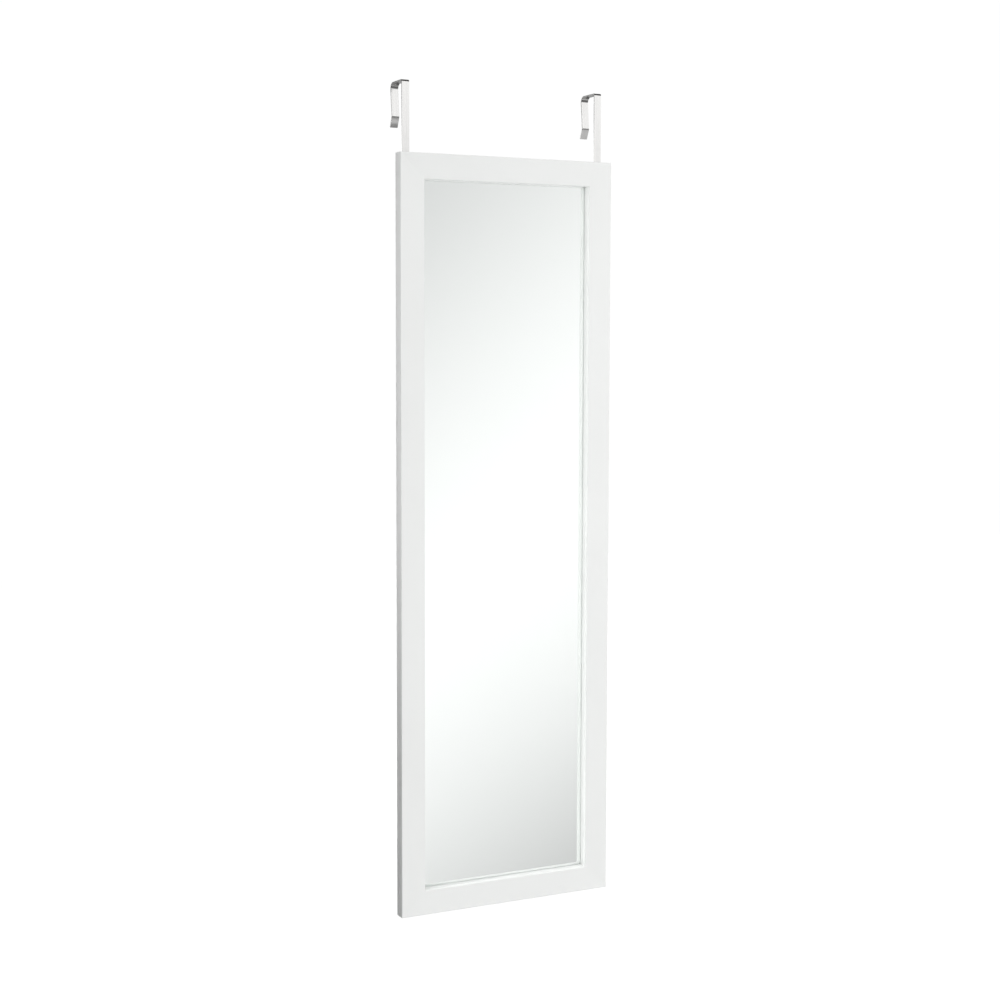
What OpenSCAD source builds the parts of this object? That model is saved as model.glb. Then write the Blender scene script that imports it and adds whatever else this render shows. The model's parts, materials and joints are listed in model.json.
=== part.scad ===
// Over the door mirror: a slim white frame with a mirror, hung on two flat hooks that go over a door's top.
// The origin is midway between the hooks, on the door's top front edge. The mirror faces -Y and +Z is up.

/* [Frame] */
// Width over the frame
frame_w = 370; // [340:5:450]
// Height over the frame
frame_h = 1200; // [1000:10:1400]
// Thickness of the frame, front to back
frame_t = 20; // [19:0.5:24]
// Width of the frame's flat face
face_w = 40; // [38:1:50]
// How far the inner wall slopes in, from the face to the mirror
wall_slope = 1; // [0.5:0.5:4]
// Radius of the face's edges
edge_r = 1; // [0.4:0.2:2]

/* [Mirror and back] */
// Depth of the mirror's front behind the face
recess = 14; // [10:0.5:14]
// Thickness of the glass
glass_t = 2; // [1.8:0.1:2]
// Thickness of the reflecting coat and its paint
silver_t = 0.2; // [0.1:0.1:0.3]
// Thickness of the cushion sheet behind the mirror
sheet_t = 0.3; // [0.2:0.1:0.3]
// Thickness of the back board
board_t = 2; // [1.5:0.1:2]
// How far the mirror reaches behind the frame's inner edge
rebate_w = 7; // [6:1:10]
// Gap between the mirror and the rebate, on each side
pane_gap = 0.5; // [0.3:0.1:1]

/* [Hooks] */
// Distance of the frame's top edge below the door's top
hang_drop = 110; // [95:5:130]
// Distance between the hooks' centres
hook_spacing = 338; // [338:2:342]
// Width of the hook strip
hook_w = 12.5; // [10:0.5:12.5]
// Thickness of the hook strip
hook_t = 2; // [1.5:0.1:2]
// Clear depth of the hook at the door's top
door_gap_top = 39.8; // [37.8:0.2:46]
// Clear depth of the hook at the knee
door_gap_knee = 35.4; // [34:0.1:38]
// Radius of the bend behind the door's top
rear_bend_r = 9; // [3:1:10]
// Height of the knee below the door's top
knee_drop = 50.2; // [40:1:60]
// Length of the lip below the knee
lip_len = 17.7; // [10:0.5:25]
// Angle of the lip from upright
lip_angle = 25; // [10:1:40]
// Length of strip behind the frame
strip_len = 240; // [200:10:300]
// How far a hook can be raised from its place, against the frame
hook_up = 30; // [10:5:35]
// How far a hook can be lowered from its place, against the frame
hook_down = 20; // [5:5:20]

/* [Fixings] */
// Thickness of the bumper pads, which is the gap between the frame and the door
pad_t = 1.5; // [1.5:0.1:3]
// Radius of the bumper pads
pad_r = 6; // [4:0.5:8]
// Thickness of the turn buttons
button_t = 1; // [0.8:0.1:1]
// Reach of a turn button from its screw
button_reach = 15.5; // [13:0.5:18]

/* [Hidden] */
$fn = 48;
eps = 0.5;

// Planes across the thickness
y_back = -pad_t;
y_face = y_back - frame_t;
y_glass = y_face + recess;
y_silver = y_glass + glass_t;
y_sheet = y_silver + silver_t;
y_board = y_sheet + sheet_t;
y_ledge = y_board + board_t;

// Levels
z_top = -hang_drop;
z_bottom = z_top - frame_h;
z_mid = (z_top + z_bottom) / 2;

// Frame section: u runs in from the outer edge, d runs back from the face
sight_u = face_w + wall_slope;
rebate_u = sight_u - rebate_w;
ledge_u = rebate_u - 10;
ledge_d = y_ledge - y_face;

// Hook strip in its groove
slip = 0.05;
groove_w = hook_w + 0.5;
groove_d = hook_t + 0.5;
y_groove = y_back - groove_d;
y_strip = y_groove + slip + hook_t / 2;
z_strip_end = z_top - strip_len;
bend_r = 3;
knee_r = 4;

// Clamp screws and washers
clamp_z = [z_top - 40, z_top - 140];
clamp_shank_r = 2;
clamp_head_r = 3.8;
clamp_head_t = 1.2;
clamp_len = 13;
slot_r = 2.3;
washer_r = 4.5;
washer_t = 0.45;
washer_hole_r = 2.2;
y_washer = y_groove + hook_t + 2 * slip;

// Turn buttons and their screws
button_u = rebate_u - 5;
button_hub_r = 4.5;
button_tip_r = 3.5;
button_gap = 0.1;
button_hole_r = 1.8;
screw_shank_r = 1.75;
screw_head_r = 3.4;
screw_head_t = 1.3;
screw_len = 11;
y_button = y_ledge + button_gap;
y_screw_head = y_button + button_t + button_gap;
button_end_z = 160;
button_x = frame_w / 2 - button_u;

// Corner nails
nail_u = 28;
nail_leg = 3.6;
nail_spread = 3.4;
nail_t = 0.7;
nail_h = 9;

// Bumper pads
pad_x = 120;
pad_u = 12;
pad_bevel = 0.5;

// Points of an arc about c, from angle a to angle b
function arc(c, r, a, b, n = 4) =
    let (step = (b - a) / n)
    [for (i = [0:n]) c + r * [cos(a + step * i), sin(a + step * i)]];

// Section of the frame, with rounded edges on its face
function frame_section() = concat(
    arc([edge_r, edge_r], edge_r, 180, 270),
    arc([face_w - edge_r, edge_r], edge_r, 270, 350),
    [
        [sight_u, recess],
        [rebate_u, recess],
        [rebate_u, ledge_d],
        [ledge_u, ledge_d],
        [ledge_u, frame_t],
        [0, frame_t]
    ]
);

// A length of frame along +Z with both ends mitred: its outer edge is on x = 0 and its face on y = 0
module mitred_length(len) {
    reach = sight_u + 1;
    intersection() {
        linear_extrude(len) polygon(frame_section());
        translate([0, frame_t + 1, 0])
            rotate([90, 0, 0])
                linear_extrude(frame_t + 2)
                    polygon([[0, 0], [reach, reach], [reach, len - reach], [0, len]]);
    }
}

// A cylinder along +Y from its base
module rod_y(r, h) {
    rotate([-90, 0, 0]) cylinder(r = r, h = h);
}

// A domed screw head along +Y with a cross recess
module screw_head(r, t) {
    rim = 0.4;
    recess_w = 0.26 * r;
    recess_len = 1.1 * r;
    rotate([-90, 0, 0])
        difference() {
            rotate_extrude()
                polygon(concat(
                    [[0, 0], [r, 0]],
                    [for (a = [0:22.5:67.5]) [r * cos(a), t * (rim + (1 - rim) * sin(a))]],
                    [[0, t]]
                ));
            for (a = [0, 90])
                rotate(a)
                    translate([-recess_len / 2, -recess_w / 2, t / 2])
                        cube([recess_len, recess_w, t]);
        }
}

// One copy of the children for each side of the frame
module both_sides() {
    children();
    mirror([1, 0, 0]) children();
}

// One copy of the children for the top half and one for the bottom half
module both_ends() {
    children();
    translate([0, 0, 2 * z_mid]) mirror([0, 0, 1]) children();
}

// The milled channels for the hook strips, which run out through the top rail
module hook_grooves() {
    groove_end = z_strip_end - hook_down - 2;
    both_sides()
        translate([hook_spacing / 2 - groove_w / 2, y_groove, groove_end])
            cube([groove_w, groove_d + eps, z_top - groove_end + eps]);
}

// Where each turn button pivots, as [x, z, direction its tip points in]
function button_places() = concat(
    [for (z = button_levels()) [-button_x, z, 0]],
    [for (z = button_levels()) [button_x, z, 180]],
    [[0, z_top - button_u, -90], [0, z_bottom + button_u, 90]]
);
function button_levels() = [z_top - button_end_z, z_mid, z_bottom + button_end_z];

// Shanks of the turn buttons' screws, or the holes for them
module button_shanks(r, y_end) {
    for (p = button_places())
        translate([p[0], y_screw_head - screw_len, p[1]]) rod_y(r, y_end - y_screw_head + screw_len);
}

// Shanks of the clamp screws, or the holes for them
module clamp_shanks(r, y_end) {
    y_tip = y_washer + washer_t - clamp_len;
    both_sides()
        for (z = clamp_z)
            translate([hook_spacing / 2, y_tip, z]) rod_y(r, y_end - y_tip);
}

// What is milled and drilled out of the frame
module frame_cuts() {
    hook_grooves();
    corner_wedges();
    button_shanks(screw_shank_r + 0.03, y_ledge + eps);
    clamp_shanks(clamp_shank_r + 0.03, y_groove + eps);
}

// V-shaped wedges across the mitres, opening to the outer corners
module corner_wedges() {
    half = nail_t / 2;
    both_sides()
        both_ends()
            translate([frame_w / 2 - nail_u, y_ledge, z_top - nail_u])
                rotate([90, 0, 0])
                    rotate(45)
                        linear_extrude(nail_h)
                            polygon([
                                [-half, 0], [nail_leg, nail_spread], [nail_leg + nail_t, nail_spread - half],
                                [half, 0], [nail_leg + nail_t, half - nail_spread], [nail_leg, -nail_spread]
                            ]);
}

module left_stile() {
    color("white")
        difference() {
            translate([-frame_w / 2, y_face, z_bottom]) mitred_length(frame_h);
            frame_cuts();
        }
}

module right_stile() {
    color("white")
        difference() {
            mirror([1, 0, 0]) translate([-frame_w / 2, y_face, z_bottom]) mitred_length(frame_h);
            frame_cuts();
        }
}

module top_rail() {
    color("white")
        difference() {
            translate([-frame_w / 2, y_face, z_top]) rotate([0, 90, 0]) mitred_length(frame_w);
            frame_cuts();
        }
}

module bottom_rail() {
    color("white")
        difference() {
            translate([-frame_w / 2, y_face, z_bottom])
                mirror([0, 0, 1])
                    rotate([0, 90, 0])
                        mitred_length(frame_w);
            frame_cuts();
        }
}

module corner_nails() {
    color("silver") corner_wedges();
}

// A flat sheet that fills the rebate but for its edge gap
module rebate_sheet(y, t) {
    inset = rebate_u + pane_gap;
    translate([-frame_w / 2 + inset, y, z_bottom + inset])
        cube([frame_w - 2 * inset, t, frame_h - 2 * inset]);
}

module mirror_glass() {
    color("aliceblue", 0.5) rebate_sheet(y_glass, glass_t);
}

module mirror_silver() {
    color("lightsteelblue") rebate_sheet(y_silver, silver_t);
}

module cushion_sheet() {
    color("whitesmoke") rebate_sheet(y_sheet, sheet_t);
}

module back_board() {
    color("peru") rebate_sheet(y_board, board_t);
}

// A flat steel button at one of its places, held shut: its tip points in over the back board
module turn_button(place) {
    tip_x = button_reach - button_tip_r;
    color("silver")
        translate([place[0], y_button, place[1]])
            rotate([0, -place[2], 0])
                difference() {
                    union() {
                        rod_y(button_hub_r, button_t);
                        translate([0, 0, -button_tip_r]) cube([tip_x, button_t, 2 * button_tip_r]);
                        translate([tip_x, 0, 0]) rod_y(button_tip_r, button_t);
                    }
                    translate([0, -eps, 0]) rod_y(button_hole_r, button_t + 2 * eps);
                }
}

module turn_button_left_top() {
    turn_button(button_places()[0]);
}

module turn_button_left_mid() {
    turn_button(button_places()[1]);
}

module turn_button_left_bottom() {
    turn_button(button_places()[2]);
}

module turn_button_right_top() {
    turn_button(button_places()[3]);
}

module turn_button_right_mid() {
    turn_button(button_places()[4]);
}

module turn_button_right_bottom() {
    turn_button(button_places()[5]);
}

module turn_button_top() {
    turn_button(button_places()[6]);
}

module turn_button_bottom() {
    turn_button(button_places()[7]);
}

module turn_button_screws() {
    color("gainsboro") {
        button_shanks(screw_shank_r, y_screw_head);
        for (p = button_places())
            translate([p[0], y_screw_head, p[1]]) screw_head(screw_head_r, screw_head_t);
    }
}

// A round rubber pad with a bevelled edge, between the frame's back and the door
module pad(side, z) {
    color("dimgray")
        translate([side * pad_x, y_back, z])
            rotate([-90, 0, 0])
                rotate_extrude()
                    polygon([
                        [0, 0], [pad_r, 0],
                        [pad_r, pad_t - pad_bevel], [pad_r - pad_bevel, pad_t], [0, pad_t]
                    ]);
}

module pad_top_left() {
    pad(-1, z_top - pad_u);
}

module pad_top_right() {
    pad(1, z_top - pad_u);
}

module pad_bottom_left() {
    pad(-1, z_bottom + pad_u);
}

module pad_bottom_right() {
    pad(1, z_bottom + pad_u);
}

// The strip's centre line seen from the side, as [y, z] corners from its lower end to the lip's tip
function hook_line() = [
    [y_strip, z_strip_end],
    [y_strip, hook_t / 2],
    [door_gap_top + hook_t, hook_t / 2],
    [door_gap_knee + hook_t / 2, -knee_drop],
    [
        door_gap_knee + hook_t / 2 + lip_len * sin(lip_angle),
        -knee_drop - lip_len * cos(lip_angle)
    ]
];
hook_bends = [bend_r, rear_bend_r, knee_r];

function unit(v) = v / norm(v);
function left_of(v) = [-v[1], v[0]];
function turned(v, a) = [v[0] * cos(a) - v[1] * sin(a), v[0] * sin(a) + v[1] * cos(a)];

// The bend at corner q between corners p and s, on a line that lies off to the left of the centre line
function bend(p, q, s, r, off) =
    let (
        a = unit(q - p),
        b = unit(s - q),
        side = sign(a[0] * b[1] - a[1] * b[0]),
        turn = acos(a * b),
        n = max(6, ceil(1.3 * r)),
        centre = q - a * r * tan(turn / 2) + left_of(a) * side * r
    )
    [for (i = [0:n]) centre - turned(left_of(a), side * turn * i / n) * side * (r - side * off)];

// One long side of the strip, at a distance to the left of its centre line
function strip_side(line, bends, off) =
    let (last = len(line) - 1)
    concat(
        [line[0] + left_of(unit(line[1] - line[0])) * off],
        [for (i = [1:last - 1]) each bend(line[i - 1], line[i], line[i + 1], bends[i - 1], off)],
        [line[last] + left_of(unit(line[last] - line[last - 1])) * off]
    );

// A hook bent from one flat strip, with a slot for each clamp screw
module hook(side) {
    near = strip_side(hook_line(), hook_bends, hook_t / 2);
    far = strip_side(hook_line(), hook_bends, -hook_t / 2);
    color("gainsboro")
        translate([side * hook_spacing / 2, 0, 0])
            difference() {
                rotate([90, 0, 90])
                    linear_extrude(hook_w, center = true)
                        polygon(concat(near, [for (i = [len(far) - 1:-1:0]) far[i]]));
                for (z = clamp_z)
                    translate([0, y_strip - hook_t, 0]) {
                        translate([-slot_r, 0, z - hook_up])
                            cube([2 * slot_r, 2 * hook_t, hook_up + hook_down]);
                        for (end = [z - hook_up, z + hook_down])
                            translate([0, 0, end]) rod_y(slot_r, 2 * hook_t);
                    }
            }
}

module left_hook() {
    hook(-1);
}

module right_hook() {
    hook(1);
}

module clamp_washers() {
    color("silver")
        both_sides()
            for (z = clamp_z)
                translate([hook_spacing / 2, y_washer, z])
                    difference() {
                        rod_y(washer_r, washer_t);
                        translate([0, -eps, 0]) rod_y(washer_hole_r, washer_t + 2 * eps);
                    }
}

module clamp_screws() {
    y_head = y_washer + washer_t;
    color("gainsboro") {
        clamp_shanks(clamp_shank_r, y_head);
        both_sides()
            for (z = clamp_z)
                translate([hook_spacing / 2, y_head, z]) screw_head(clamp_head_r, clamp_head_t);
    }
}

left_stile();
right_stile();
top_rail();
bottom_rail();
corner_nails();
mirror_glass();
mirror_silver();
cushion_sheet();
back_board();
turn_button_left_top();
turn_button_left_mid();
turn_button_left_bottom();
turn_button_right_top();
turn_button_right_mid();
turn_button_right_bottom();
turn_button_top();
turn_button_bottom();
turn_button_screws();
pad_top_left();
pad_top_right();
pad_bottom_left();
pad_bottom_right();
left_hook();
right_hook();
clamp_washers();
clamp_screws();
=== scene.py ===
"""Finishes, soft edges and studio for an over the door mirror that hangs on two plated hooks.

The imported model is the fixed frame. Its solids keep their shape here and get finishes and
soft edges. Everything is in metres, with the origin midway between the hooks on the door's
top front edge, the mirror facing -Y and Z up.
"""

import json
import math

import bmesh
import bpy
from mathutils import Matrix, Vector


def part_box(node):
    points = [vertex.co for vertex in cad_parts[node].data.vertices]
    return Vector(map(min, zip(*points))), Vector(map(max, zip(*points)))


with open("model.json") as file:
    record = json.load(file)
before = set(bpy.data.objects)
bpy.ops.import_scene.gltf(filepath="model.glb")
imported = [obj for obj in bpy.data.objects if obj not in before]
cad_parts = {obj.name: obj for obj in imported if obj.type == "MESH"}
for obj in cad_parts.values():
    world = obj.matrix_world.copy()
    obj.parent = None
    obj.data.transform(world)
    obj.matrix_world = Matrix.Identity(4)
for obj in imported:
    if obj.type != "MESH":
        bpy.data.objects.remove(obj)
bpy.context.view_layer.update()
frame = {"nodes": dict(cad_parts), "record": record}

bl_info = {
    "name": "Over the door mirror",
    "version": (1, 0, 0),
    "blender": (4, 5, 0),
    "location": "3D View > Sidebar > Mirror",
    "description": "Dresses the packed over the door mirror and builds its studio",
    "category": "Object",
}

MM = 0.001
RECORD_COLORS = {
    slot["slot"]: tuple(slot["base_color"][:3])
    for slot in frame["record"]["materials"]
}

FRAME_MEMBERS = ("left_stile", "right_stile", "top_rail", "bottom_rail")
BUTTONS = (
    "turn_button_left_top",
    "turn_button_left_mid",
    "turn_button_left_bottom",
    "turn_button_right_top",
    "turn_button_right_mid",
    "turn_button_right_bottom",
    "turn_button_top",
    "turn_button_bottom",
)
SMALL_METAL = ("turn_button_screws", "clamp_washers", "clamp_screws", "corner_nails")
PADS = ("pad_top_left", "pad_top_right", "pad_bottom_left", "pad_bottom_right")
HOOKS = ("left_hook", "right_hook")

FRAME_LOW = Vector(map(min, *[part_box(name)[0] for name in FRAME_MEMBERS]))
FRAME_HIGH = Vector(map(max, *[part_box(name)[1] for name in FRAME_MEMBERS]))
HALF_WIDTH = (FRAME_HIGH.x - FRAME_LOW.x) / 2
HALF_HEIGHT = (FRAME_HIGH.z - FRAME_LOW.z) / 2
MIDDLE_Z = (FRAME_HIGH.z + FRAME_LOW.z) / 2
FACE_Y = FRAME_LOW.y
HOOK_X = sum(corner.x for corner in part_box("right_hook")) / 2

# Soft edges
WELD = 0.002 * MM
SHARP_ANGLE = math.radians(40)
MITRE_REACH = 0.05 * MM
EDGE_SEGMENTS = 2
FACE_GAP = 0.03 * MM

# White as the camera and the gloss see it. The world's is a touch over 1, which hides the
# denoiser's faint marks.
WORLD_WHITE = 1.01
FLOOR_TOP_UP = 0.62
FLOOR_REACH = 9.0

# The sky's share of its level near the horizon and high up
SKY_LOW = 0.85
SKY_HIGH = 1.18

# Where the cards stand around the part
FRONT_CARD_Y = -1.5
REAR_CARD_Y = 2.0
REAR_SPLIT_X = -0.3
REAR_REACH_X = 3.0
SIDE_CARD_TOP = 0.14
ROOF_Z = 0.25
HOOK_CARD_Z = -0.09

# The camera as fitted to the frame's corners in the photograph, angles in degrees. The fit
# would take more shift, but then other views lose the hooks' tops.
CAMERA_PLACE = Vector((-1.2295, -2.4975, -0.4022))
CAMERA_YAW = 26.138
CAMERA_PITCH = -4.66
CAMERA_ROLL = 0.135
CAMERA_SHIFT = -0.015
SENSOR_WIDTH_MM = 36.0


# ---------------------------------------------------------------- node helpers


class Graph:
    """A node tree under construction."""

    def __init__(self, tree):
        self.nodes = tree.nodes
        self.links = tree.links
        self.nodes.clear()

    def add(self, kind, inputs=None, **settings):
        """A new node, with its settings and with values or other nodes' outputs in its sockets."""
        node = self.nodes.new(kind)
        for name, value in settings.items():
            setattr(node, name, value)
        for socket, value in (inputs or {}).items():
            if isinstance(value, bpy.types.NodeSocket):
                self.links.new(value, node.inputs[socket])
            else:
                node.inputs[socket].default_value = value
        return node

    def math(self, operation, first, second=0.0, third=0.0):
        """One arithmetic step."""
        values = {0: first, 1: second, 2: third}
        return self.add("ShaderNodeMath", values, operation=operation).outputs[0]

    def total(self, first, *others):
        """Values added together."""
        for other in others:
            first = self.math("ADD", first, other)
        return first

    def product(self, first, *others):
        """Values multiplied together."""
        for other in others:
            first = self.math("MULTIPLY", first, other)
        return first

    def apart(self, value, place):
        """How far a value is from a place, either way."""
        return self.math("ABSOLUTE", self.math("SUBTRACT", value, place))

    def spread(self, value, low, high, to_low=0.0, to_high=1.0):
        """The value's range from low to high, eased onto the range from to_low to to_high."""
        sockets = {
            "Value": value,
            "From Min": low,
            "From Max": high,
            "To Min": to_low,
            "To Max": to_high,
        }
        node = self.add("ShaderNodeMapRange", sockets, interpolation_type="SMOOTHSTEP")
        return node.outputs["Result"]

    def axes(self, vector):
        """The x, y and z of a vector."""
        return self.add("ShaderNodeSeparateXYZ", {"Vector": vector}).outputs


class Finish(Graph):
    """One node material under construction. Its textures are laid out in the part's metres."""

    def __init__(self, name):
        self.material = bpy.data.materials.new(name)
        self.material.use_nodes = True
        super().__init__(self.material.node_tree)
        coordinates = self.add("ShaderNodeTexCoord")
        self.place = coordinates.outputs["Object"]
        self.facing = coordinates.outputs["Normal"]

    def noise(self, scale, detail=2.0, roughness=0.5, stretch=None):
        """Noise from 0 to 1, with scale features a metre, squeezed by stretch along each axis."""
        at = self.place
        if stretch:
            at = self.add("ShaderNodeMapping", {"Vector": at, "Scale": stretch}).outputs[0]
        sockets = {"Vector": at, "Scale": scale, "Detail": detail, "Roughness": roughness}
        return self.add("ShaderNodeTexNoise", sockets).outputs[0]

    def cells(self, scale):
        """Distance to the nearest cell point, with scale cells a metre."""
        sockets = {"Vector": self.place, "Scale": scale}
        return self.add("ShaderNodeTexVoronoi", sockets).outputs["Distance"]

    def mix(self, share, first, second):
        """A colour between first and second."""
        sockets = {0: share, 6: first, 7: second}
        return self.add("ShaderNodeMix", sockets, data_type="RGBA").outputs[2]

    def bump(self, height, strength, distance, normal=None):
        """A surface normal raised by a height."""
        sockets = {"Height": height, "Strength": strength, "Distance": distance}
        if normal:
            sockets["Normal"] = normal
        return self.add("ShaderNodeBump", sockets).outputs[0]

    def end(self, shader):
        """Ends the material in a shader's output and returns the material."""
        self.add("ShaderNodeOutputMaterial", {"Surface": shader})
        return self.material

    def surface(self, **sockets):
        """Ends the material in a principled shader and returns the material."""
        named = {name.replace("_", " "): value for name, value in sockets.items()}
        return self.end(self.add("ShaderNodeBsdfPrincipled", named).outputs[0])


def rgba(color, level=1.0):
    """A colour with its brightness scaled, as a node socket takes it."""
    return (*(min(1.0, channel * level) for channel in color[:3]), 1.0)


def frame_gaps(graph, x, z):
    """How far a place lies in from the frame's nearer side, and from its nearer end."""
    from_side = graph.math("SUBTRACT", HALF_WIDTH, graph.math("ABSOLUTE", x))
    from_end = graph.math("SUBTRACT", HALF_HEIGHT, graph.apart(z, MIDDLE_Z))
    return from_side, from_end


def dress(names, material):
    """Puts a finish on CAD nodes."""
    for name in names:
        node = frame["nodes"][name]
        node.data.materials.clear()
        node.data.materials.append(material)


# ------------------------------------------------------------------- finishes


def edge_rub(finish, wear):
    """How far the lacquer is rubbed, from 0 to wear, in patches along the frame's outer edges."""
    x, y, z = finish.axes(finish.place)
    gaps = (*frame_gaps(finish, x, z), finish.math("SUBTRACT", y, FACE_Y))
    side, end, face = [finish.spread(gap, 0.3 * MM, 1.8 * MM, 1.0, 0.0) for gap in gaps]
    edges = finish.total(
        finish.product(side, end),
        finish.product(side, face),
        finish.product(end, face),
    )
    patches = finish.spread(finish.noise(60.0, detail=4.0, roughness=0.6), 0.5, 0.75)
    return finish.product(edges, patches, wear)


def lacquer_finish(look):
    """Satin white lacquer: orange peel on the show faces, fibres telegraphing through behind."""
    finish = Finish("satin_white_lacquer")
    cloud = finish.spread(finish.noise(5.0, detail=3.0), 0.35, 0.65)
    coat = finish.mix(cloud, rgba(look.color), rgba(look.color, 0.985))
    rub = edge_rub(finish, look.wear)
    coat = finish.mix(rub, coat, rgba(look.color, 0.86))

    rear = finish.spread(finish.axes(finish.facing)["Y"], 0.6, 0.9)
    fibres = finish.noise(500.0, detail=5.0, roughness=0.65, stretch=(1.0, 1.0, 0.25))
    flecks = finish.spread(fibres, 0.52, 0.72)
    thin = finish.mix(flecks, rgba(look.color, 0.95), rgba(look.rear_fleck))
    coat = finish.mix(rear, coat, thin)

    peel = finish.noise(260.0, roughness=0.45)
    tooth = finish.noise(1800.0, detail=3.0, roughness=0.6)
    relief = finish.total(peel, finish.product(fibres, rear, 1.5))
    normal = finish.bump(tooth, 0.06, 0.05 * MM)
    normal = finish.bump(relief, look.orange_peel, 0.12 * MM, normal)

    smoother, rougher = look.roughness - 0.04, look.roughness + 0.05
    drift = finish.noise(35.0, detail=4.0, roughness=0.55)
    gloss = finish.total(
        finish.spread(drift, 0.3, 0.7, smoother, rougher),
        finish.product(rear, 0.22),
        finish.product(rub, -0.08),
    )
    return finish.surface(
        Base_Color=coat,
        Roughness=gloss,
        Normal=normal,
        Coat_Weight=0.12,
        Coat_Roughness=0.22,
    )


def glass_finish(look):
    """Clear float glass with a trace of green and of polishing haze."""
    finish = Finish("float_glass")
    tint = finish.mix(finish.noise(3.0), rgba(look.glass_tint), rgba(look.glass_tint, 0.996))
    smears = finish.noise(9.0, detail=5.0, roughness=0.6)
    haze = finish.spread(smears, 0.55, 0.8, 0.0, 0.006)
    wave = finish.bump(finish.noise(7.0, detail=1.0), 0.02, 0.05 * MM)
    return finish.surface(
        Base_Color=tint,
        Roughness=haze,
        Normal=wave,
        Transmission_Weight=1.0,
        IOR=1.52,
    )


def silver_finish(look):
    """The reflecting coat in front, its grey protective paint behind."""
    finish = Finish("mirror_silver")
    rear = finish.spread(finish.axes(finish.facing)["Y"], 0.2, 0.8)
    coat = finish.mix(finish.noise(4.0), rgba(look.silver), rgba(look.silver, 0.995))
    dark_paint, pale_paint = rgba((0.30, 0.32, 0.33)), rgba((0.36, 0.38, 0.39))
    paint = finish.mix(finish.noise(300.0, detail=3.0), dark_paint, pale_paint)
    metal = finish.math("SUBTRACT", 1.0, rear)
    matt = finish.spread(finish.noise(500.0), 0.3, 0.7, 0.45, 0.6)
    return finish.surface(
        Base_Color=finish.mix(rear, coat, paint),
        Metallic=metal,
        Roughness=finish.product(rear, matt),
    )


def sheet_finish(look):
    """Thin foamed paper between the silver and the board."""
    finish = Finish("foam_paper")
    pores = finish.cells(900.0)
    color = finish.mix(finish.spread(pores, 0.1, 0.6), rgba(look.sheet, 0.9), rgba(look.sheet))
    rough = finish.spread(finish.noise(300.0), 0.3, 0.7, 0.75, 0.9)
    normal = finish.bump(pores, 0.3, 0.05 * MM)
    return finish.surface(Base_Color=color, Roughness=rough, Normal=normal)


def board_finish(look):
    """Smooth hardboard: matted wood fibres pressed flat, darker resin spots and a slight sheen."""
    finish = Finish("hardboard")
    mottle = finish.spread(finish.noise(14.0, detail=5.0, roughness=0.6), 0.35, 0.65)
    color = finish.mix(mottle, rgba(look.board, 0.9), rgba(look.board, 1.08))
    fibres = finish.noise(420.0, detail=6.0, roughness=0.7, stretch=(1.0, 1.0, 0.3))
    crossed = finish.noise(420.0, detail=6.0, roughness=0.7, stretch=(0.3, 1.0, 1.0))
    matted = finish.math("MAXIMUM", fibres, crossed)
    color = finish.mix(finish.spread(matted, 0.5, 0.75), color, rgba(look.board, 1.35))
    dots = finish.spread(finish.cells(160.0), 0.05, 0.2, 1.0, 0.0)
    spots = finish.product(dots, finish.spread(finish.noise(60.0), 0.5, 0.62))
    color = finish.mix(spots, color, rgba(look.board, 0.55))
    rough = finish.spread(matted, 0.4, 0.75, 0.42, 0.62)
    normal = finish.bump(matted, 0.25, 0.08 * MM)
    return finish.surface(Base_Color=color, Roughness=rough, Normal=normal)


def plated_finish(name, color, roughness, along, grain):
    """Bright plated steel: fine rolling lines, soft clouding and a few fine scratches.

    along is how many lines cross a metre of each axis.
    """
    finish = Finish(name)
    lines = finish.noise(1.0, detail=3.0, roughness=0.6, stretch=along)
    cloud = finish.spread(finish.noise(30.0, detail=4.0, roughness=0.6), 0.3, 0.7)
    shade = finish.mix(cloud, rgba(color, 0.995), rgba(color, 1.03))
    shade = finish.mix(finish.spread(lines, 0.35, 0.7, 0.0, 0.5), shade, rgba(color, 0.96))
    streaks = finish.noise(1.0, detail=1.0, stretch=[0.08 * scale for scale in along])
    shade = finish.mix(finish.spread(streaks, 0.35, 0.65), shade, rgba(color, 0.95))
    rough = finish.spread(lines, 0.3, 0.7, roughness - 0.03, roughness + 0.05)
    rough = finish.total(rough, finish.product(cloud, 0.02))
    scratches = finish.noise(1.0, stretch=(300.0, 2200.0, 2600.0))
    normal = finish.bump(lines, grain, 0.02 * MM)
    normal = finish.bump(finish.spread(scratches, 0.68, 0.75), 0.05, 0.02 * MM, normal)
    return finish.surface(Base_Color=shade, Metallic=1.0, Roughness=rough, Normal=normal)


def rubber_finish(look):
    """Soft moulded rubber with a fine matt skin and a little dust."""
    finish = Finish("pad_rubber")
    dust = finish.spread(finish.noise(400.0, detail=5.0, roughness=0.7), 0.5, 0.75)
    color = finish.mix(dust, rgba(look.pad), rgba(look.pad, 1.5))
    rough = finish.spread(dust, 0.0, 1.0, 0.62, 0.8)
    normal = finish.bump(finish.noise(3500.0), 0.3, 0.03 * MM)
    return finish.surface(Base_Color=color, Roughness=rough, Normal=normal)


# ------------------------------------------------------------------ soft edges


def geometry_group(name):
    """An empty geometry node group, and the graph to fill it with."""
    group = bpy.data.node_groups.new(name, "GeometryNodeTree")
    for direction in ("INPUT", "OUTPUT"):
        group.interface.new_socket(
            "Geometry",
            in_out=direction,
            socket_type="NodeSocketGeometry",
        )
    return group, Graph(group)


def off_mitre(graph, position):
    """How far a point is from the plane where a stile meets a rail."""
    x, _, z = graph.axes(position)
    return graph.apart(*frame_gaps(graph, x, z))


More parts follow.
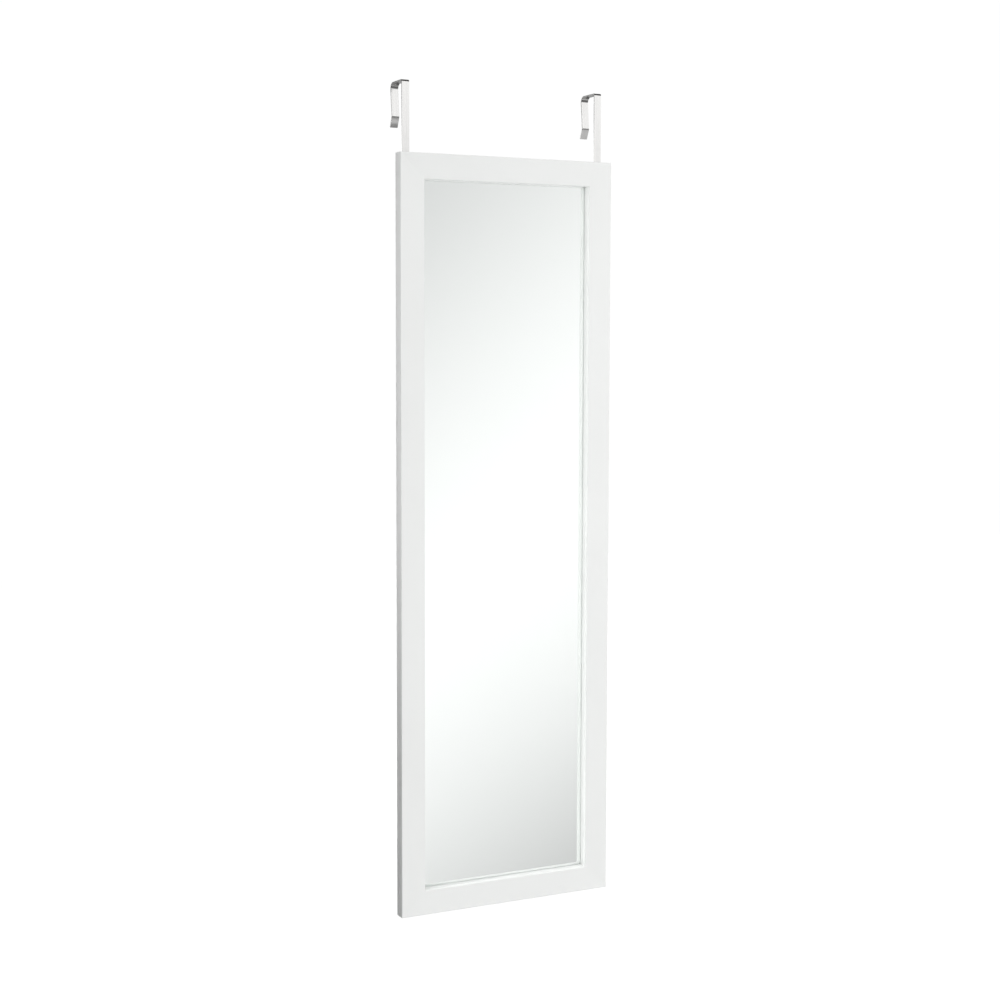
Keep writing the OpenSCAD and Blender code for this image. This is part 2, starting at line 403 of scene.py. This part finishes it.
def edge_group(skip_mitres):
    """A node group that welds a CAD mesh, shades it smooth and marks the edges to be eased."""
    group, graph = geometry_group("eased_mitres" if skip_mitres else "eased_edges")
    source = graph.add("NodeGroupInput").outputs[0]
    clean = graph.add("GeometryNodeRemoveAttribute", {0: source, "Name": "custom_normal"})
    weld = {0: clean.outputs[0], "Distance": WELD}
    welded = graph.add("GeometryNodeMergeByDistance", weld)
    smooth = graph.add("GeometryNodeSetShadeSmooth", {0: welded.outputs[0]})
    angle = graph.add("GeometryNodeInputMeshEdgeAngle").outputs[0]
    marked = graph.math("GREATER_THAN", angle, SHARP_ANGLE)
    if skip_mitres:
        ends = graph.add("GeometryNodeInputMeshEdgeVertices").outputs
        gaps = [off_mitre(graph, ends[end]) for end in ("Position 1", "Position 2")]
        off = graph.math("GREATER_THAN", graph.math("MAXIMUM", *gaps), MITRE_REACH)
        marked = graph.product(marked, off)
    stored = graph.add(
        "GeometryNodeStoreNamedAttribute",
        {0: smooth.outputs[0], "Name": "bevel_weight_edge", "Value": marked},
        data_type="FLOAT",
        domain="EDGE",
    )
    graph.add("NodeGroupOutput", {0: stored.outputs[0]})
    return group


def ease_edges(names, width, skip_mitres=False):
    """Rounds CAD nodes' sharp edges a little, as filing, pressing or a coat of lacquer does."""
    group = edge_group(skip_mitres)
    for name in names:
        node = frame["nodes"][name]
        node.modifiers.new("marked_edges", "NODES").node_group = group
        bevel = node.modifiers.new("eased_edges", "BEVEL")
        bevel.limit_method = "WEIGHT"
        bevel.width = width
        bevel.segments = EDGE_SEGMENTS
        bevel.use_clamp_overlap = True
        bevel.miter_outer = "MITER_SHARP"
        flat = node.modifiers.new("flat_faces", "WEIGHTED_NORMAL")
        flat.weight = 100
        flat.keep_sharp = False


def settle(name):
    """Draws a sheet's front face a hair behind what it touches, so that the two don't fight."""
    group, graph = geometry_group("settled_" + name)
    low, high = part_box(name)
    y = graph.axes(graph.add("GeometryNodeInputPosition").outputs[0])["Y"]
    moved = graph.add("GeometryNodeSetPosition", {
        "Geometry": graph.add("NodeGroupInput").outputs[0],
        "Selection": graph.math("LESS_THAN", y, (low.y + high.y) / 2),
        "Offset": (0.0, FACE_GAP, 0.0),
    })
    graph.add("NodeGroupOutput", {0: moved.outputs[0]})
    frame["nodes"][name].modifiers.new("settled", "NODES").node_group = group


# ------------------------------------------------------------------- settings


def color_property(name, description, default):
    """A colour that a user would change."""
    return bpy.props.FloatVectorProperty(
        name=name,
        description=description,
        default=default,
        subtype="COLOR",
        size=3,
        min=0.0,
        max=1.0,
    )


def share_property(name, description, default, top=1.0):
    """A plain factor that a user would change."""
    return bpy.props.FloatProperty(
        name=name,
        description=description,
        default=default,
        subtype="FACTOR",
        min=0.0,
        max=top,
    )


def length_property(name, description, default, lowest=0.0):
    """A length in metres that a user would change."""
    return bpy.props.FloatProperty(
        name=name,
        description=description,
        default=default,
        subtype="DISTANCE",
        unit="LENGTH",
        min=lowest,
        precision=4,
    )


def power_property(name, description, default):
    """A lamp's power in watts."""
    return bpy.props.FloatProperty(
        name=name,
        description=description,
        default=default,
        subtype="POWER",
        unit="POWER",
        min=0.0,
    )


class FrameSettings(bpy.types.PropertyGroup):
    """The lacquered frame."""

    color: color_property("Lacquer", "Colour of the lacquer", RECORD_COLORS["frame"])
    rear_fleck: color_property("Fibre flecks", "Board showing through behind", (0.62, 0.56, 0.47))
    roughness: share_property("Roughness", "Roughness of the lacquer", 0.34)
    orange_peel: share_property("Orange peel", "Strength of the lacquer's ripple", 0.1)
    wear: share_property("Wear", "How far the outer edges are rubbed", 0.35)
    edge: length_property("Edge easing", "Rounding of the sharp edges behind", 0.4 * MM)


class MirrorSettings(bpy.types.PropertyGroup):
    """The pane and what lies behind it."""

    glass_tint: color_property("Glass", "Tint of the clear glass", (0.985, 0.995, 0.99))
    silver: color_property("Silver", "Colour of the reflecting coat", (0.97, 0.975, 0.97))
    sheet: color_property("Cushion sheet", "Colour of the foamed paper", RECORD_COLORS["sheet"])
    board: color_property("Board", "Colour of the hardboard back", RECORD_COLORS["board"])


class HookSettings(bpy.types.PropertyGroup):
    """The two hooks."""

    color: color_property("Plating", "Colour of the plated steel", (0.82, 0.815, 0.805))
    roughness: share_property("Roughness", "Roughness of the plating", 0.15)
    grain: share_property("Rolling lines", "Strength of the lines along the strip", 0.12)
    edge: length_property("Edge easing", "Rounding of the strip's edges", 0.2 * MM)


class FixingSettings(bpy.types.PropertyGroup):
    """Turn buttons, screws, washers, nails and pads."""

    color: color_property("Zinc", "Colour of the zinc plate", RECORD_COLORS["fixing"])
    roughness: share_property("Roughness", "Roughness of the zinc plate", 0.33)
    edge: length_property("Edge easing", "Rounding of the stamped edges", 0.15 * MM)
    pad: color_property("Pads", "Colour of the rubber pads", RECORD_COLORS["pad"])


class StudioSettings(bpy.types.PropertyGroup):
    """Floor, light and camera."""

    floor_z: length_property("Floor", "Height of the floor from the door's top edge", -2.0, -4.0)
    floor_color: color_property("Floor colour", "Colour of the floor", (0.7, 0.7, 0.7))
    sky: share_property("Sky", "Light from above and in front", 1.145, 3.0)
    dusk: share_property("Shade", "Light from behind", 0.1, 3.0)
    key: power_property("Key lamp", "Power of the lamp at the front right", 3.6)
    back: power_property("Back lamp", "Power of the lamp behind", 4.5)
    lens: length_property("Lens", "Focal length on a 36 mm sensor", 62.49 * MM)


# ------------------------------------------------------------------ operators


class DressFrame(bpy.types.Operator):
    """Lacquers the four frame members and eases their edges."""

    bl_idname = "overdoor.dress_frame"
    bl_label = "Frame"

    def execute(self, context):
        look = context.scene.overdoor_frame
        dress(FRAME_MEMBERS, lacquer_finish(look))
        ease_edges(FRAME_MEMBERS, look.edge, skip_mitres=True)
        return {"FINISHED"}


class DressMirror(bpy.types.Operator):
    """Gives the pane, silver, cushion sheet and back board their finishes."""

    bl_idname = "overdoor.dress_mirror"
    bl_label = "Mirror and back"

    def execute(self, context):
        look = context.scene.overdoor_mirror
        dress(["mirror_glass"], glass_finish(look))
        dress(["mirror_silver"], silver_finish(look))
        settle("mirror_glass")
        settle("mirror_silver")
        dress(["cushion_sheet"], sheet_finish(look))
        dress(["back_board"], board_finish(look))
        return {"FINISHED"}


class DressHooks(bpy.types.Operator):
    """Plates the hooks and eases their edges."""

    bl_idname = "overdoor.dress_hooks"
    bl_label = "Hooks"

    def execute(self, context):
        look = context.scene.overdoor_hooks
        along_strip = (2600.0, 45.0, 45.0)
        plate = plated_finish("bright_plate", look.color, look.roughness, along_strip, look.grain)
        dress(HOOKS, plate)
        ease_edges(HOOKS, look.edge)
        return {"FINISHED"}


class DressFixings(bpy.types.Operator):
    """Zinc plates the buttons, screws, washers and nails, and gives the pads their rubber."""

    bl_idname = "overdoor.dress_fixings"
    bl_label = "Fixings and pads"

    def execute(self, context):
        look = context.scene.overdoor_fixings
        even = (900.0, 900.0, 900.0)
        zinc = plated_finish("zinc_plate", look.color, look.roughness, even, 0.15)
        dress((*BUTTONS, *SMALL_METAL), zinc)
        ease_edges(BUTTONS, look.edge)
        dress(PADS, rubber_finish(look))
        return {"FINISHED"}


class BuildStudio(bpy.types.Operator):
    """Lays the floor, sets the light and the reflection cards, and places the camera."""

    bl_idname = "overdoor.build_studio"
    bl_label = "Studio"

    def execute(self, context):
        look = context.scene.overdoor_studio
        context.scene.view_settings.view_transform = "Standard"
        context.scene.cycles.blur_glossy = 0.0
        lay_floor(look)
        light_world(look)
        hang_cards(look.floor_z)
        hang_lamps(look)
        place_camera(look.lens)
        return {"FINISHED"}


# --------------------------------------------------------------------- studio


def seen_rays(graph):
    """1 for rays from the camera, off gloss and through glass, 0 for those that light things."""
    path = graph.add("ShaderNodeLightPath").outputs
    seen = graph.math("MAXIMUM", path["Is Camera Ray"], path["Is Glossy Ray"])
    return graph.math("MAXIMUM", seen, path["Is Transmission Ray"])


def stage_mesh(name, corners, material):
    """A flat stage piece from its corners."""
    mesh = bpy.data.meshes.new(name)
    shape = bmesh.new()
    shape.faces.new([shape.verts.new(corner) for corner in corners])
    shape.to_mesh(mesh)
    shape.free()
    mesh.materials.append(material)
    piece = bpy.data.objects.new(name, mesh)
    bpy.context.scene.collection.objects.link(piece)
    return piece


def level_corners(z, x_range, y_range):
    """The corners of a level rectangle whose front side is up."""
    (x0, x1), (y0, y1) = x_range, y_range
    return [(x0, y0, z), (x1, y0, z), (x1, y1, z), (x0, y1, z)]


def upright_corners(y, x_range, z_range):
    """The corners of an upright rectangle across the view."""
    (x0, x1), (z0, z1) = x_range, z_range
    return [(x0, y, z0), (x1, y, z0), (x1, y, z1), (x0, y, z1)]


def lay_floor(look):
    """A wide pale floor, topped up to white for the camera, that still shows shadows."""
    finish = Finish("pale_floor")
    grain = finish.spread(finish.noise(8.0, detail=4.0), 0.3, 0.7)
    color = finish.mix(grain, rgba(look.floor_color), rgba(look.floor_color, 0.99))
    matt = finish.add("ShaderNodeBsdfDiffuse", {"Color": color})
    strength = finish.product(seen_rays(finish), FLOOR_TOP_UP)
    glow = finish.add("ShaderNodeEmission", {"Strength": strength})
    both = finish.add("ShaderNodeAddShader", {0: matt.outputs[0], 1: glow.outputs[0]})
    span = (-FLOOR_REACH, FLOOR_REACH)
    stage_mesh("floor", level_corners(look.floor_z, span, span), finish.end(both.outputs[0]))


def light_world(look):
    """White where it is seen, and a soft sky in front and above where it lights."""
    world = bpy.data.worlds.new("studio")
    world.use_nodes = True
    bpy.context.scene.world = world
    graph = Graph(world.node_tree)
    _, y, z = graph.axes(graph.add("ShaderNodeTexCoord").outputs["Generated"])
    front = graph.spread(y, -0.2, 0.1, look.sky, look.dusk)
    height = graph.spread(z, -0.1, 0.7, SKY_LOW, SKY_HIGH)
    seen = seen_rays(graph)
    unseen = graph.math("SUBTRACT", 1.0, seen)
    light = graph.product(front, height, unseen)
    strength = graph.total(light, graph.product(seen, WORLD_WHITE))
    sockets = {"Color": (1.0, 1.0, 1.0, 1.0), "Strength": strength}
    background = graph.add("ShaderNodeBackground", sockets)
    graph.add("ShaderNodeOutputWorld", {"Surface": background.outputs[0]})


def glow_finish(finish, level, one_sided=False):
    """Ends a card's material in an emission, which can be left out on its back."""
    shader = finish.add("ShaderNodeEmission", {"Strength": level}).outputs[0]
    if one_sided:
        back = finish.add("ShaderNodeNewGeometry").outputs["Backfacing"]
        clear = finish.add("ShaderNodeBsdfTransparent").outputs[0]
        shader = finish.add("ShaderNodeMixShader", {0: back, 1: shader, 2: clear}).outputs[0]
    return finish.end(shader)


def graded_glow(name, axis, places, levels):
    """A material whose level eases from one to another between two places on one axis."""
    finish = Finish(name)
    return glow_finish(finish, finish.spread(finish.axes(finish.place)[axis], *places, *levels))


def front_glow():
    """The front card's levels, as the mirror, the hooks and the lacquer's gloss show them."""
    finish = Finish("front_card")
    x, _, z = finish.axes(finish.place)

    # What the mirror shows is brightest halfway up, and fades to its top and foot on a slant.
    across = finish.math("MINIMUM", finish.math("MAXIMUM", x, 0.2), 1.2)
    top_slant, foot_slant = -0.91, -0.55
    top_level, foot_level = 0.605, 0.36
    upper = finish.total(finish.product(across, top_slant), z)
    lower = finish.total(finish.product(across, foot_slant), z)
    mirrored = finish.product(
        finish.spread(upper, -1.6, 0.0, 1.0, top_level),
        finish.spread(lower, -3.05, -1.37, foot_level, 1.1),
    )

    # The strips show white, which starts at hook height and is only as wide as they need.
    white = finish.product(
        finish.spread(z, 0.0, 0.08, 0.0, 1.1),
        finish.spread(x, 0.24, 0.36),
        finish.spread(x, 1.4, 2.2, 1.0, 0.0),
    )

    from_left = finish.spread(x, -1.6, 0.1, 1.5, 0.0)
    from_above = finish.spread(z, 0.9, 1.4, 0.0, 0.4)
    level = finish.total(finish.math("MAXIMUM", mirrored, white), from_left, from_above)
    return glow_finish(finish, level)


def hook_glow():
    """The levels of the card below the hooks, which shows from above only.

    The lips show a patch and a line of it that change from the left hook to the right one, and
    the hooks' undersides show what lies behind.
    """
    finish = Finish("hook_card")
    x, y, _ = finish.axes(finish.place)
    patch = finish.product(
        finish.spread(finish.apart(y, 8.0 * MM), 12.0 * MM, 30.0 * MM, 1.0, 0.0),
        finish.spread(x, -0.1, 0.1, 0.15, 0.45),
    )
    line = finish.product(
        finish.spread(finish.apart(y, 2.0 * MM), 3.0 * MM, 7.0 * MM, 1.0, 0.0),
        finish.spread(x, -0.1, 0.1, 0.42, 0.04),
    )
    in_front = finish.spread(y, -1.0, 0.0, 0.45, 0.12)

    behind = finish.spread(y, 0.25, 0.45)
    clear_of_hooks = finish.apart(finish.apart(x, 0.04), HOOK_X)
    beside = finish.product(
        finish.spread(clear_of_hooks, 0.06, 0.1),
        finish.spread(y, 0.03, 0.08),
        finish.math("SUBTRACT", 1.0, behind),
    )
    near = finish.total(patch, line, in_front, finish.product(beside, 0.4))
    level = finish.math("MAXIMUM", near, finish.product(behind, 0.36))
    return glow_finish(finish, level, one_sided=True)


def roof_glow():
    """The levels above the hooks: dark over their fronts, paler behind."""
    finish = Finish("roof_card")
    y = finish.axes(finish.place)["Y"]
    in_front = finish.spread(y, -0.45, -0.38, 0.3, 0.04)
    behind = finish.spread(y, 0.08, 0.3, 0.0, 0.45)
    return glow_finish(finish, finish.total(in_front, behind))


def hang_cards(foot):
    """Cards that only gloss and glass see: in front, behind, and above and below the hooks.

    The side, edge and low cards are behind at the left, where the frame's outer side shows them.
    """
    left = (-REAR_REACH_X, REAR_SPLIT_X)
    right = (REAR_SPLIT_X, REAR_REACH_X)
    depth = (0.1, REAR_CARD_Y)
    brightest = 1.5
    cards = (
        (
            front_glow(),
            upright_corners(FRONT_CARD_Y, (-4.0, 4.0), (foot, 3.0)),
        ),
        (
            graded_glow("rear_card", "Z", (-1.5, 0.5), (0.12, 0.42)),
            upright_corners(REAR_CARD_Y, right, (foot, 0.5)),
        ),
        (
            graded_glow("side_card", "Z", (-1.65, -0.72), (0.02, brightest)),
            upright_corners(REAR_CARD_Y, left, (foot, SIDE_CARD_TOP)),
        ),
        (
            graded_glow("edge_card", "Z", (SIDE_CARD_TOP, 0.26), (brightest, 0.08)),
            upright_corners(REAR_CARD_Y, left, (SIDE_CARD_TOP, 0.8)),
        ),
        (
            graded_glow("low_card", "Y", depth, (0.05, 0.02)),
            level_corners(foot + 0.01, left, depth),
        ),
        (
            roof_glow(),
            level_corners(ROOF_Z, (-0.7, 1.2), (-0.45, 1.5)),
        ),
        (
            hook_glow(),
            level_corners(HOOK_CARD_Z, (-1.5, 1.5), (-1.4, 1.9)),
        ),
    )
    for material, corners in cards:
        card = stage_mesh(material.name, corners, material)
        card.visible_camera = False
        card.visible_diffuse = False
        card.visible_shadow = False


def area_lamp(name, place, size, spread, watts):
    """A soft lamp aimed at the part's middle, which is never seen, not even in a reflection."""
    data = bpy.data.lights.new(name, "AREA")
    data.shape = "RECTANGLE"
    data.size, data.size_y = size
    data.spread = math.radians(spread)
    data.energy = watts
    lamp = bpy.data.objects.new(name, data)
    away = Vector(place) - Vector((0.0, 0.0, MIDDLE_Z))
    turn = away.to_track_quat("Z", "Y").to_matrix().to_4x4()
    lamp.matrix_world = Matrix.Translation(place) @ turn
    bpy.context.scene.collection.objects.link(lamp)
    lamp.visible_camera = False
    lamp.visible_glossy = False
    lamp.visible_transmission = False


def hang_lamps(look):
    """A weak key at the front right, and a lamp behind so that the back can be seen."""
    key_place = (1.0, -1.1, -0.68)
    area_lamp("key_lamp", key_place, size=(0.4, 1.8), spread=180.0, watts=look.key)
    back_place = (0.0, 3.0, MIDDLE_Z)
    area_lamp("back_lamp", back_place, size=(0.36, 1.6), spread=50.0, watts=look.back)


def place_camera(lens):
    """Stands where the photograph was taken from, to the left and a little above the middle."""
    yaw, pitch, roll = map(math.radians, (CAMERA_YAW, CAMERA_PITCH, CAMERA_ROLL))
    level = math.cos(pitch)
    forward = Vector((math.sin(yaw) * level, math.cos(yaw) * level, math.sin(pitch)))
    right = Vector((math.cos(yaw), -math.sin(yaw), 0.0))
    up = right.cross(forward)
    across = right * math.cos(roll) + up * math.sin(roll)
    upright = across.cross(forward)
    data = bpy.data.cameras.new("camera")
    data.sensor_fit = "HORIZONTAL"
    data.sensor_width = SENSOR_WIDTH_MM
    data.lens = lens / MM
    data.shift_y = CAMERA_SHIFT
    camera = bpy.data.objects.new("camera", data)
    turn = Matrix((across, upright, -forward)).transposed()
    camera.matrix_world = Matrix.Translation(CAMERA_PLACE) @ turn.to_4x4()
    bpy.context.scene.collection.objects.link(camera)
    bpy.context.scene.camera = camera


# ------------------------------------------------------------- panel and main


class MirrorPanel(bpy.types.Panel):
    """Lists the mirror's parts with their settings."""

    bl_idname = "VIEW3D_PT_overdoor_mirror"
    bl_label = "Over the door mirror"
    bl_space_type = "VIEW_3D"
    bl_region_type = "UI"
    bl_category = "Mirror"

    def draw(self, context):
        for group, _, operator in SECTIONS:
            box = self.layout.box()
            settings = getattr(context.scene, group)
            for name in settings.bl_rna.properties.keys():
                if name not in ("rna_type", "name"):
                    box.prop(settings, name)
            box.operator(operator.bl_idname)


SECTIONS = (
    ("overdoor_frame", FrameSettings, DressFrame),
    ("overdoor_mirror", MirrorSettings, DressMirror),
    ("overdoor_hooks", HookSettings, DressHooks),
    ("overdoor_fixings", FixingSettings, DressFixings),
    ("overdoor_studio", StudioSettings, BuildStudio),
)


def register():
    """Adds the settings, the operators and the panel to Blender."""
    for group, settings, operator in SECTIONS:
        bpy.utils.register_class(settings)
        setattr(bpy.types.Scene, group, bpy.props.PointerProperty(type=settings))
        bpy.utils.register_class(operator)
    bpy.utils.register_class(MirrorPanel)


def unregister():
    """Takes them out again, the last first."""
    bpy.utils.unregister_class(MirrorPanel)
    for group, settings, operator in reversed(SECTIONS):
        bpy.utils.unregister_class(operator)
        delattr(bpy.types.Scene, group)
        bpy.utils.unregister_class(settings)


def main():
    """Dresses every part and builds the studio."""
    register()
    bpy.ops.overdoor.dress_frame()
    bpy.ops.overdoor.dress_mirror()
    bpy.ops.overdoor.dress_hooks()
    bpy.ops.overdoor.dress_fixings()
    bpy.ops.overdoor.build_studio()


if __name__ == "__main__":
    main()
